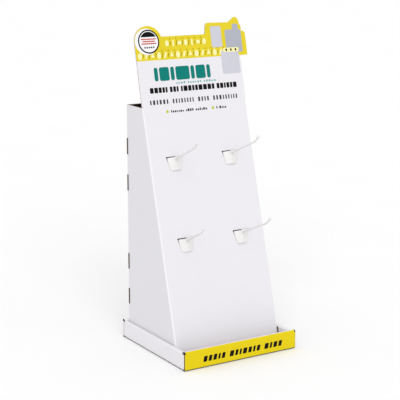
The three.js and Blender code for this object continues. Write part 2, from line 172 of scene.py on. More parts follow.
class Graph:
    """Adds nodes to a node tree, with numbers or sockets as inputs.

    Args:
        tree: The node tree that the nodes go into.
    """

    def __init__(self, tree: bpy.types.NodeTree) -> None:
        """Keeps the tree."""
        self.tree = tree

    def node(self, kind: str, **settings: object) -> bpy.types.Node:
        """Adds a node of a kind and sets its properties."""
        made = self.tree.nodes.new(kind)
        for name, value in settings.items():
            setattr(made, name, value)
        return made

    def feed(self, socket: Socket, value: object) -> None:
        """Links a socket into an input, or sets the input to a number or colour."""
        if isinstance(value, bpy.types.NodeSocket):
            self.tree.links.new(value, socket)
        elif isinstance(value, tuple) and len(value) == 3 and socket.type == "RGBA":
            socket.default_value = (*value, 1.0)
        else:
            socket.default_value = value

    def math(self, operation: str, *values: Feed) -> Socket:
        """A Math node's result, which each further value meets in a node of its own."""
        result = values[0]
        for value in values[1:] or (0.0,):
            made = self.node("ShaderNodeMath", operation=operation)
            self.feed(made.inputs[0], result)
            self.feed(made.inputs[1], value)
            result = made.outputs[0]
        return result

    def add(self, *values: Feed) -> Socket:
        """The sum of the values."""
        return self.math("ADD", *values)

    def less(self, *values: Feed) -> Socket:
        """The first value less the others."""
        return self.math("SUBTRACT", *values)

    def times(self, *values: Feed) -> Socket:
        """The product of the values: of masks, where all of them hold."""
        return self.math("MULTIPLY", *values)

    def least(self, *values: Feed) -> Socket:
        """The smallest of the values."""
        return self.math("MINIMUM", *values)

    def most(self, *values: Feed) -> Socket:
        """The largest of the values: of masks, where any of them holds."""
        return self.math("MAXIMUM", *values)

    def apart(self, a: Feed, b: Feed) -> Socket:
        """How far apart two values are."""
        return self.math("ABSOLUTE", self.less(a, b))

    def above(self, value: Feed, level: Feed) -> Socket:
        """1 where a value is above a level, otherwise 0."""
        return self.math("GREATER_THAN", value, level)

    def below(self, value: Feed, level: Feed) -> Socket:
        """1 where a value is below a level, otherwise 0."""
        return self.math("LESS_THAN", value, level)

    def ramp(self, value: Feed, low: float, high: float) -> Socket:
        """A value turned into 0 at low and 1 at high, and held beyond them."""
        made = self.node("ShaderNodeMapRange", clamp=True)
        for name, number in (("From Min", low), ("From Max", high), ("To Min", 0.0), ("To Max", 1.0)):
            made.inputs[name].default_value = number
        self.feed(made.inputs["Value"], value)
        return made.outputs["Result"]

    def mix(self, amount: Feed, a: object, b: object, blend: str = "MIX") -> Socket:
        """One colour laid over another by an amount."""
        made = self.node("ShaderNodeMix", data_type="RGBA", blend_type=blend)
        self.feed(made.inputs["Factor"], amount)
        self.feed(made.inputs[6], a)
        self.feed(made.inputs[7], b)
        return made.outputs[2]

    def blend_values(self, amount: Feed, a: Feed, b: Feed) -> Socket:
        """One number laid over another by an amount."""
        made = self.node("ShaderNodeMix", data_type="FLOAT")
        self.feed(made.inputs["Factor"], amount)
        self.feed(made.inputs[2], a)
        self.feed(made.inputs[3], b)
        return made.outputs[0]

    def place(self) -> tuple[Socket, Socket, Socket, Socket]:
        """The point's object coordinates as a vector and as x, y and z."""
        vector = self.node("ShaderNodeTexCoord").outputs["Object"]
        split = self.node("ShaderNodeSeparateXYZ")
        self.feed(split.inputs[0], vector)
        return vector, split.outputs[0], split.outputs[1], split.outputs[2]

    def noise(self, vector: Socket, scale: float, detail: float = 3.0,
              stretch: tuple[float, float, float] | None = None) -> Socket:
        """Smooth noise over a point, stretched along chosen axes if asked."""
        if stretch:
            mapping = self.node("ShaderNodeMapping")
            mapping.inputs["Scale"].default_value = stretch
            self.feed(mapping.inputs["Vector"], vector)
            vector = mapping.outputs["Vector"]
        made = self.node("ShaderNodeTexNoise")
        made.inputs["Scale"].default_value = scale
        made.inputs["Detail"].default_value = detail
        self.feed(made.inputs["Vector"], vector)
        return made.outputs["Fac"]

    def group(self, tree: bpy.types.NodeTree, **inputs: object) -> bpy.types.Node:
        """Places a node group and feeds its inputs by name."""
        made = self.node("ShaderNodeGroup", node_tree=tree)
        for name, value in inputs.items():
            self.feed(made.inputs[name], value)
        return made


class EffectGroup:
    """A shader node group under construction, with named sockets.

    Args:
        name: The group's name.
        inputs: Socket kind by input name.
        outputs: Socket kind by output name.
    """

    def __init__(self, name: str, inputs: dict[str, str], outputs: dict[str, str]) -> None:
        """Makes the empty group with its entry and its exit."""
        self.tree = bpy.data.node_groups.new(name, "ShaderNodeTree")
        for socket, kind in inputs.items():
            self.tree.interface.new_socket(socket, in_out="INPUT", socket_type=kind)
        for socket, kind in outputs.items():
            self.tree.interface.new_socket(socket, in_out="OUTPUT", socket_type=kind)
        self.graph = Graph(self.tree)
        self.entry = self.graph.node("NodeGroupInput").outputs
        self.leave = self.graph.node("NodeGroupOutput").inputs

    def put_out(self, **results: Socket) -> bpy.types.NodeTree:
        """Links the results to the outputs of the same names and gives the finished group."""
        for name, result in results.items():
            self.graph.feed(self.leave[name], result)
        return self.tree


class SharedEffects:
    """Shader node groups that several finishes use, each built once."""

    def __init__(self) -> None:
        """Builds the groups."""
        self.fibre = self.build_fibre()
        self.cut_edge = self.build_cut_edge()
        self.washboard = self.build_washboard()

    def build_fibre(self) -> bpy.types.NodeTree:
        """Paper fibre: fine stretched noise that mottles a colour and lifts the surface."""
        effect = EffectGroup("Paper fibre", {"Point": VECTOR, "Colour": COLOUR, "Amount": NUMBER},
                             {"Colour": COLOUR, "Height": NUMBER})
        g = effect.graph
        fine = g.noise(effect.entry["Point"], 900.0, 4.0, (1.0, 1.0, 0.35))
        cloud = g.noise(effect.entry["Point"], 22.0, 3.0)
        shade = g.add(g.times(g.less(fine, 0.5), 0.55), g.times(g.less(cloud, 0.5), 0.45))
        level = g.add(1.0, g.times(shade, effect.entry["Amount"]))
        grey = g.node("ShaderNodeCombineColor")
        for channel in range(3):
            g.feed(grey.inputs[channel], level)
        colour = g.mix(1.0, effect.entry["Colour"], grey.outputs[0], "MULTIPLY")
        return effect.put_out(Colour=colour, Height=fine)

    def build_cut_edge(self) -> bpy.types.NodeTree:
        """A cut edge of board: two liners and, between them, a medium that follows a sine wave.

        The medium lies where the depth through the board meets 0.5 + 0.36 sin(2 pi along / pitch). The open
        flutes around it take the hollow colour, painted shade for their dark insides.
        """
        inputs = {"Depth": NUMBER, "Along": NUMBER, "Paper": COLOUR, "Hollow": COLOUR}
        effect = EffectGroup("Cut edge", inputs, {"Colour": COLOUR, "Height": NUMBER})
        g = effect.graph
        part = g.math("DIVIDE", effect.entry["Depth"], BOARD.thickness)
        turn = g.times(effect.entry["Along"], 2 * math.pi / BOARD.flute)
        wave = g.add(0.5, g.times(g.math("SINE", turn), 0.36))
        medium = g.less(1.0, g.ramp(g.apart(part, wave), 0.10, 0.2))
        liner = g.ramp(g.apart(part, 0.5), 0.36, 0.42)
        solid = g.most(medium, liner)
        # Painted shade: the open flutes take the dark hollow colour.
        colour = g.mix(solid, effect.entry["Hollow"], effect.entry["Paper"])
        return effect.put_out(Colour=colour, Height=solid)

    def build_washboard(self) -> bpy.types.NodeTree:
        """The faint washboard of flutes that shows through a liner: a cosine across the flutes."""
        effect = EffectGroup("Washboard", {"Across": NUMBER}, {"Height": NUMBER})
        turn = effect.graph.times(effect.entry["Across"], 2 * math.pi / BOARD.flute)
        return effect.put_out(Height=effect.graph.math("COSINE", turn))

    def relief(self, g: Graph, fibre: bpy.types.Node, across: Feed) -> Socket:
        """Height of a liner: its fibre over the washboard of the flutes."""
        waves = g.group(self.washboard, Across=across)
        return g.add(g.times(fibre.outputs["Height"], 0.25), g.times(waves.outputs["Height"], 0.12))


# Finishes


@dataclass(frozen=True)
class BoardFinish:
    """Colours of a sheet of board: its coated liner, its brown back, its cut edges and its field of ink."""

    liner: Colour = (0.676, 0.664, 0.694)
    # painted highlight: a lighter liner laid along the rounded folds between the body's sides and front
    painted_highlight: Colour = (0.79, 0.775, 0.81)
    kraft: Colour = (0.36, 0.235, 0.135)
    # near-black of painted shade, laid over the brown where the deep mask holds
    kraft_painted_shade: Colour = (0.02, 0.011, 0.008)
    edge_paper: Colour = (0.46, 0.34, 0.23)
    # painted shade inside the open flutes of a cut edge
    edge_hollow_shade: Colour = (0.10, 0.065, 0.04)
    ink: Colour = (0.66, 0.52, 0.004)
    # near-black of painted shade along the tray's foot and at its seam with the front panel, also laid on the
    # darker top corners
    painted_shade: Colour = (0.03, 0.022, 0.016)
    mottle: float = 0.035
    kraft_mottle: float = 0.5
    ink_mottle: float = 0.05
    gloss: float = 0.12
    liner_roughness: float = 0.5
    ink_roughness: float = 0.4
    kraft_roughness: float = 0.85
    edge_roughness: float = 0.95


@dataclass(frozen=True)
class InkFinish:
    """A flat printing ink: its colour, roughness, unevenness on the paper and strength of reflection."""

    name: str
    colour: Colour
    roughness: float = 0.42
    mottle: float = 0.08
    gloss: float = 0.08


@dataclass(frozen=True)
class PlasticFinish:
    """Moulded plastic of the hooks."""

    colour: Colour = (0.71, 0.702, 0.69)
    roughness: float = 0.36
    grain: float = 0.06


class Ink(Enum):
    """The inks on the display."""

    BLACK = InkFinish("ink_black", (0.004, 0.004, 0.004))
    GREY = InkFinish("ink_grey", (0.045, 0.045, 0.05))
    TEAL = InkFinish("ink_teal", (0.003, 0.17, 0.145))
    SOFT_TEAL = InkFinish("ink_soft_teal", (0.16, 0.36, 0.37))
    CREAM = InkFinish("ink_cream", (0.80, 0.74, 0.36))
    OLIVE = InkFinish("ink_olive", (0.30, 0.24, 0.01))
    LIME = InkFinish("ink_lime", (0.47, 0.48, 0.05))
    BRICK = InkFinish("ink_brick", (0.47, 0.09, 0.06))
    WHITE = InkFinish("ink_white", (0.76, 0.755, 0.78))
    CARD = InkFinish("ink_card", (0.36, 0.375, 0.43), mottle=0.3)
    PALE_CARD = InkFinish("ink_pale_card", (0.50, 0.505, 0.56), mottle=0.2)


def principled(name: str) -> tuple[bpy.types.Material, Graph, bpy.types.Node]:
    """A new material with an empty graph and its surface shader."""
    material = bpy.data.materials.new(name)
    material.use_nodes = True
    graph = Graph(material.node_tree)
    return material, graph, material.node_tree.nodes["Principled BSDF"]


def bump(graph: Graph, shader: bpy.types.Node, height: Socket, strength: float = 0.35,
         distance: float = 0.25 * MM) -> None:
    """Feeds a height into the shader's normal through a Bump node, as strong as paper's unless told."""
    made = graph.node("ShaderNodeBump")
    made.inputs["Strength"].default_value = strength
    made.inputs["Distance"].default_value = distance
    graph.feed(made.inputs["Height"], height)
    graph.feed(shader.inputs["Normal"], made.outputs["Normal"])


@dataclass(frozen=True)
class SheetMasks:
    """Where a sheet shows its cut edges, brown back, ink, painted highlights on folds and lines of painted
    shade.

    Depth lies below the outer face, along runs with a cut edge and across goes over the flutes. Deep is
    the share of painted shade in the brown, and the rest are masks; fold marks a painted highlight and shade
    marks painted shade.
    """

    depth: Feed
    along: Feed
    across: Feed
    cut: Feed
    back: Feed
    # share of painted shade in the brown
    deep: Feed = 0.0
    ink: Feed = 0.0
    # mask of the painted highlight on the folds
    fold: Feed = 0.0
    # mask of the painted shade
    shade: Feed = 0.0


MaskMaker = Callable[[Graph, Socket, Socket, Socket], SheetMasks]


@dataclass
class BoardMaterials:
    """Makes the board materials, which tell liner, back and cut edge apart by where a point lies.

    Args:
        effects: The shared shader groups.
        skin: Depth to which a liner's colour reaches.
        slack: How far a face may lie from its named place.
        highlight_fade: Where the painted highlight on a fold starts to fade and ends, as shares of the
            crease's radius.
    """

    effects: SharedEffects
    skin: float = 0.35 * MM
    slack: float = 0.1 * MM
    flap_top: float = 35 * MM
    # height of the painted contact shadow along the foot of the tray
    foot_line: float = 2.5 * MM
    # reach of the darker spot at the top corners of the tray's walls
    top_corner_reach: float = 2.6 * MM
    # reach of the painted shade on the tray's inner side walls beside the front panel
    seam_line: float = 2.2 * MM
    # where the painted highlight on the folds fades out
    highlight_fade: tuple[float, float] = (0.2, 0.65)

    def rounded(self, g: Graph, *reaches: Socket) -> Socket:
        """Depth below a folded sheet's outer face.

        It is the crease radius less the length of what each distance to a face lacks of that radius, so it
        stays true round the creases.
        """
        lacks = [g.most(g.less(BOARD.crease, reach), 0.0) for reach in reaches]
        total = g.add(*(g.times(lack, lack) for lack in lacks))
        return g.less(BOARD.crease, g.math("SQRT", total))

    def behind(self, g: Graph, panel: PanelFrame, y: Socket, z: Socket) -> Socket:
        """Distance behind a leaning panel's face."""
        return g.less(g.times(g.less(y, panel.origin[1]), math.cos(panel.lean)),
                      g.times(g.less(z, panel.origin[2]), math.sin(panel.lean)))

    def up_slope(self, g: Graph, panel: PanelFrame, y: Socket, z: Socket) -> Socket:
        """Distance up a leaning panel's slope."""
        return g.add(g.times(g.less(y, panel.origin[1]), math.sin(panel.lean)),
                     g.times(g.less(z, panel.origin[2]), math.cos(panel.lean)))

    def layers(self, g: Graph, depth: Socket) -> tuple[Socket, Socket, Socket]:
        """Masks of the outer liner, of the back and of the cut edge between them, from the depth."""
        outside = g.below(depth, self.skin)
        back = g.above(depth, BOARD.thickness - self.skin)
        return outside, back, g.less(1.0, outside, back)

    def finish_sheet(self, name: str, masks: MaskMaker, finish: BoardFinish) -> bpy.types.Material:
        """A board material from the masks of one sheet.

        Args:
            name: The material's name.
            masks: Gives the sheet's masks for a graph and the point's x, y and z.
            finish: The sheet's colours.

        Returns:
            The material.
        """
        material, g, shader = principled(name)
        point, x, y, z = g.place()
        m = masks(g, x, y, z)
        fibre = g.group(self.effects.fibre, Point=point, Colour=finish.liner, Amount=finish.mottle)
        # Painted shade: the brown is darkened to near black where the deep mask holds.
        brown = g.mix(m.deep, finish.kraft, finish.kraft_painted_shade)
        kraft = g.group(self.effects.fibre, Point=point, Colour=brown, Amount=finish.kraft_mottle)
        inked = g.group(self.effects.fibre, Point=point, Colour=finish.ink, Amount=finish.ink_mottle)
        cut = g.group(self.effects.cut_edge, Depth=m.depth, Along=m.along, Paper=finish.edge_paper,
                      Hollow=finish.edge_hollow_shade)
        # Painted highlight: the liner is lightened along the rounded folds.
        colour = g.mix(m.fold, fibre.outputs["Colour"], finish.painted_highlight)
        colour = g.mix(m.ink, colour, inked.outputs["Colour"])
        colour = g.mix(m.back, colour, kraft.outputs["Colour"])
        colour = g.mix(m.cut, colour, cut.outputs["Colour"])
        # Painted shade: a near-black is laid where the shade mask holds.
        g.feed(shader.inputs["Base Color"], g.mix(m.shade, colour, finish.painted_shade))
        shader.inputs["Specular IOR Level"].default_value = finish.gloss
        roughness = g.blend_values(m.ink, finish.liner_roughness, finish.ink_roughness)
        roughness = g.blend_values(m.back, roughness, finish.kraft_roughness)
        g.feed(shader.inputs["Roughness"], g.blend_values(m.cut, roughness, finish.edge_roughness))
        height = self.effects.relief(g, fibre, m.across)
        bump(g, shader, g.blend_values(m.cut, height, g.times(cut.outputs["Height"], 2.0)))
        return material

    def body(self) -> bpy.types.Material:
        """The body's sheet: white outside, brown inside, a coloured band; painted highlight on folds, painted
        shade inside.
        """

        def masks(g: Graph, x: Socket, y: Socket, z: Socket) -> SheetMasks:
            """Tells the folded body from the header above its crease, and each one's layers."""
            side = g.less(DISPLAY.half_body, g.math("ABSOLUTE", x))
            rear = g.less(DISPLAY.body_rear, y)
            front = self.behind(g, FRONT, y, z)
            high = g.above(z, DISPLAY.top_z + self.slack)
            low = g.less(1.0, high)
            depth = g.blend_values(high, self.rounded(g, side, rear, front), self.behind(g, HEADER, y, z))
            outside, back, cut = self.layers(g, depth)
            band = g.above(self.up_slope(g, HEADER, y, z), DISPLAY.band_bottom)
            # The painted highlight fills the round of the side and front creases and fades out towards their
            # flats.
            fade_start, fade_end = (share * BOARD.crease for share in self.highlight_fade)
            fold = g.less(1.0, g.ramp(g.most(side, front), fade_start, fade_end))
            run = g.add(x, y)
            # deep=low paints the brown inside the body, below the header, in shade.
            return SheetMasks(depth=depth, along=run, across=run, cut=cut, back=back, deep=low,
                              ink=g.times(band, outside), fold=g.times(fold, low))

        pale = BoardFinish(edge_paper=(0.66, 0.64, 0.62), edge_hollow_shade=(0.45, 0.43, 0.41),
                           ink=(0.64, 0.52, 0.02), ink_mottle=0.35)
        return self.finish_sheet("board_body", masks, pale)

    def back_panel(self) -> bpy.types.Material:
        """The back panel's sheet: white towards the rear, brown in painted shade towards the front, raw tab
        ends.
        """
        rear_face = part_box("back_panel")[1].y

        def masks(g: Graph, x: Socket, y: Socket, z: Socket) -> SheetMasks:
            """Tells the flat sheet's layers by the depth below its rear face."""
            depth = g.less(rear_face, y)
            _, back, cut = self.layers(g, depth)
            # deep=1.0 paints all of the brown front face in shade.
            return SheetMasks(depth=depth, along=x, across=x, cut=cut, back=back, deep=1.0)

        inner = BoardFinish(edge_paper=(0.38, 0.30, 0.23), edge_hollow_shade=(0.18, 0.14, 0.105))
        return self.finish_sheet("board_back_panel", masks, inner)

    def tray(self) -> bpy.types.Material:
        """The tray's sheet: white walls, a coloured lip, brown floor, raw ends on the rolled end walls."""
        half, deep, tall = DISPLAY.tray

        def masks(g: Graph, x: Socket, y: Socket, z: Socket) -> SheetMasks:
            """Tells raw ends, flap tops, floor, lip and lines of painted shade by the distances to the tray's
            faces.
            """
            from_side = g.less(half, g.math("ABSOLUTE", x))
            from_end = g.less(deep, g.math("ABSOLUTE", y))
            in_wall = g.less(BOARD.wall, from_end)
            buried = g.above(g.least(from_side, from_end), self.skin)
            outer_ply = g.times(g.below(from_end, BOARD.thickness + self.slack), g.below(y, 0.0))
            roll = g.times(g.above(z, tall - BOARD.crease - self.skin), g.above(in_wall, -self.slack))
            raw_end = g.times(g.below(from_side, self.skin), g.most(outer_ply, roll))
            in_corner = g.below(g.most(from_side, from_end), BOARD.wall - self.skin)
            flap_top = g.times(g.below(g.apart(z, self.flap_top), self.slack), buried, in_corner)
            on_floor = g.times(g.below(g.apart(z, BOARD.thickness), 1.5 * self.slack), buried)
            # Darker spot at the top corners, where the side and end walls meet.
            top_corner = g.times(g.below(from_side, self.top_corner_reach), g.above(z, tall - 1.2 * BOARD.crease),
                           g.below(from_end, BOARD.crease))
            # Painted shade in the joint between the tray's inner side walls and the front panel.
            at_wall = g.below(g.apart(from_side, BOARD.wall), self.skin)
            seam = g.below(g.math("ABSOLUTE", self.behind(g, FRONT, y, z)), self.seam_line)
            return SheetMasks(depth=g.least(from_end, in_wall, g.less(tall, z), z), along=g.add(y, z),
                              across=g.add(x, y), cut=g.most(raw_end, flap_top), back=on_floor,
                              ink=g.below(y, BOARD.thickness - deep),
                              # Painted contact shadow along the foot, the darker top corners, and painted
                              # shade at the seam.
                              shade=g.most(g.below(z, self.foot_line), top_corner, g.times(at_wall, seam)))

        # Painted light: the tray's liner is lighter than the body's, making up for light its walls lose near
        # the counter.
        bright = BoardFinish(liner=(0.725, 0.71, 0.735), edge_paper=(0.16, 0.10, 0.05),
                             edge_hollow_shade=(0.02, 0.012, 0.007))
        return self.finish_sheet("board_tray", masks, bright)


@dataclass
class InkMaterials:
    """Makes one material for each ink, over paper fibre."""

    effects: SharedEffects
    made: dict[Ink, bpy.types.Material] = field(default_factory=dict)

    def get(self, ink: Ink) -> bpy.types.Material:
        """The material of an ink, made the first time it is asked for."""
        if ink not in self.made:
            self.made[ink] = self.make(ink.value)
        return self.made[ink]

    def make(self, finish: InkFinish) -> bpy.types.Material:
        """A material for one ink's finish."""
        material, g, shader = principled(finish.name)
        point, x, y, _ = g.place()
        fibre = g.group(self.effects.fibre, Point=point, Colour=finish.colour, Amount=finish.mottle)
        g.feed(shader.inputs["Base Color"], fibre.outputs["Colour"])
        shader.inputs["Specular IOR Level"].default_value = finish.gloss
        uneven = g.times(g.less(fibre.outputs["Height"], 0.5), 0.2)
        g.feed(shader.inputs["Roughness"], g.add(finish.roughness, uneven))
        bump(g, shader, self.effects.relief(g, fibre, g.add(x, y)))
        return material


def hook_material(finish: PlasticFinish) -> bpy.types.Material:
    """Satin plastic with a fine moulded grain and faint flow marks along the rod."""
    material, g, shader = principled("hook_plastic")
    point, _, _, _ = g.place()
    grain = g.noise(point, 1400.0, 3.0)
    flow = g.noise(point, 60.0, 2.0, (1.0, 0.25, 1.0))
    tint = g.mix(g.ramp(flow, 0.35, 0.65), finish.colour, tuple(c * 0.96 for c in finish.colour))
    g.feed(shader.inputs["Base Color"], tint)
    spread = g.times(g.less(grain, 0.5), 2 * finish.grain)
    g.feed(shader.inputs["Roughness"], g.add(finish.roughness, spread))
    bump(g, shader, grain, 0.15, 0.08 * MM)
    return material


# Meshes


def add_mesh(name: str, points: np.ndarray, faces: list[tuple[int, ...]], materials: list[bpy.types.Material],
             slots: np.ndarray | None = None, smooth: bool = False) -> bpy.types.Object:
    """Puts points and faces into a new object at the origin.

    Args:
        name: The object's name.
        points: Array of shape (n, 3).
        faces: Corner indices of each face, anticlockwise from outside.
        materials: The object's materials.
        slots: Material index of each face.
        smooth: Whether the faces are shaded smooth.

    Returns:
        The object.
    """
    mesh = bpy.data.meshes.new(name)
    mesh.from_pydata(points.tolist(), [], faces)
    for material in materials:
        mesh.materials.append(material)
    if slots is not None:
        mesh.polygons.foreach_set("material_index", np.asarray(slots, dtype=np.int32))
    mesh.polygons.foreach_set("use_smooth", np.full(len(mesh.polygons), smooth))
    mesh.update()
    made = bpy.data.objects.new(name, mesh)
    bpy.context.scene.collection.objects.link(made)
    return made


def grid_faces(rows: int, columns: int, offset: int = 0) -> np.ndarray:
    """Quads of a grid whose columns close on themselves, as an array of corner indices."""
    r, c = np.meshgrid(np.arange(rows - 1), np.arange(columns), indexing="ij")
    a = r * columns + c
    b = r * columns + (c + 1) % columns
    return (np.stack([a, b, b + columns, a + columns], axis=-1).reshape(-1, 4) + offset)


def block(width: float, height: float, radius: float = 0.0, slant: float = 0.0, steps: int = 3) -> np.ndarray:
    """Outline of an upright block: four quarter circles, each slid by the slant times its height.

    Args:
        width: Width of the block.
        height: Height of the block.
        radius: Corner radius.
        slant: Sideways shift for each unit of height.
        steps: Segments of each corner.

    Returns:
        Array of shape (n, 2), anticlockwise about the origin.
    """
    radius = min(radius, width / 2, height / 2)
    turns = (np.arange(4)[:, None] * 90 + np.linspace(0, 90, steps + 1)[None, :]) * math.pi / 180
    centres = np.array([[1, 1], [-1, 1], [-1, -1], [1, -1]]) * (width / 2 - radius, height / 2 - radius)
    spokes = np.stack([np.cos(turns), np.sin(turns)], axis=-1) * radius
    outline = (centres[:, None, :] + spokes).reshape(-1, 2)
    if radius == 0:
        outline = centres.astype(float)
    outline[:, 0] += slant * outline[:, 1]
    return outline


def oval(width: float, height: float, sides: int = 20, power: float = 1.0, turn: float = 0.0) -> np.ndarray:
    """Outline of an oval, drop or polygon: (w cos t, h sin t), with the upper half drawn in by a power."""
    t = np.linspace(0, 2 * math.pi, sides, endpoint=False) + turn
    squeeze = np.where(np.sin(t) > 0, np.abs(np.cos(t)) ** power, np.abs(np.cos(t)))
    return np.stack([np.sign(np.cos(t)) * squeeze * width / 2, np.sin(t) * height / 2], axis=-1)


@dataclass(frozen=True)
class Patch:
    """A plain block of ink on a panel, in millimetres, on one of a stack of films."""

    ink: Ink
    width: float
    height: float
    corner: float
    x: float
    up: float
    layer: int = 0


@dataclass(frozen=True)
class BlockRow:
    """A row of plain blocks as greeked print, in millimetres.

    Words gives the number of blocks in each group, fill the share of the row that is inked, seed the draw
    of the widths, and low_share the height of the low blocks against the tall ones.
    """

    ink: Ink
    left: float
    right: float
    up: float
    height: float
    words: tuple[int, ...]
    fill: float
    seed: int
    slant: float = 0.0
    low_share: float = 1.0


@dataclass
class InkSheet:
    """Convex fields of ink on one panel, each a thin closed film.

    Args:
        name: The object's name.
        panel: The panel that carries the ink.
        inks: The material of each ink.
        film: Thickness of the film.
        lift: Gap between the panel and the lowest film.
    """

    name: str
    panel: PanelFrame
    inks: InkMaterials
    film: float = 0.08 * MM
    lift: float = 0.02 * MM
    points: list[np.ndarray] = field(default_factory=list)
    faces: list[tuple[int, ...]] = field(default_factory=list)
    slots: list[int] = field(default_factory=list)
    order: list[Ink] = field(default_factory=list)
    count: int = 0

    def lay(self, ink: Ink, outline: np.ndarray, x: float, up: float, layer: int = 0) -> None:
        """Lays one field: its outline is carried from the panel's face to the top of the film.

        Args:
            ink: The ink.
            outline: Array of shape (n, 2), anticlockwise.
            x: Place of the outline's own centre across the panel.
            up: Place of the outline's own centre up the panel.
            layer: Which film of a stack it is, from 0.
        """
        n = len(outline)
        low = self.lift + layer * self.film
        flat = outline + (x, up)
        rings = [np.column_stack([flat, np.full(n, level)]) for level in (low, low + self.film)]
        self.points.append(self.panel.place(np.vstack(rings)))
        at = self.count
        new = [tuple(range(at + n, at + 2 * n)), tuple(range(at + n - 1, at - 1, -1))]
        new += [tuple(face) for face in grid_faces(2, n, at).tolist()]
        self.faces += new
        if ink not in self.order:
            self.order.append(ink)
        self.slots += [self.order.index(ink)] * len(new)
        self.count += 2 * n

    def patch(self, patch: Patch) -> None:
        """Lays a plain block."""
        outline = block(patch.width * MM, patch.height * MM, patch.corner * MM)
        self.lay(patch.ink, outline, patch.x * MM, patch.up * MM, patch.layer)

    def row(self, row: BlockRow) -> None:
        """Lays a row of blocks: widths drawn by chance share its ink, and wider gaps part its groups."""
        chance = np.random.default_rng(row.seed)
        total = sum(row.words)
        length = (row.right - row.left) * MM
        widths = chance.uniform(0.6, 1.4, total)
        gaps = np.ones(total - 1)
        gaps[np.cumsum(row.words)[:-1] - 1] = 3.0
        widths *= row.fill * length / widths.sum()
        gaps *= (1 - row.fill) * length / gaps.sum()
        starts = row.left * MM + np.concatenate([[0.0], np.cumsum(widths[:-1] + gaps)])
        height = row.height * MM
        heights = height * chance.choice([1.0, row.low_share], total)
        for start, width, tall in zip(starts, widths, heights):
            self.lay(row.ink, block(width, tall, 0.12 * height, row.slant), start + width / 2,
                     row.up * MM - (height - tall) / 2)

    def finish(self) -> bpy.types.Object:
        """Makes the object, which rides on the root body."""
        made = add_mesh(self.name, np.vstack(self.points), self.faces, [self.inks.get(i) for i in self.order],
                        np.array(self.slots))
        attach(made, ROOT)
        LOG.info("%s: %d faces", made.name, len(made.data.polygons))
        return made


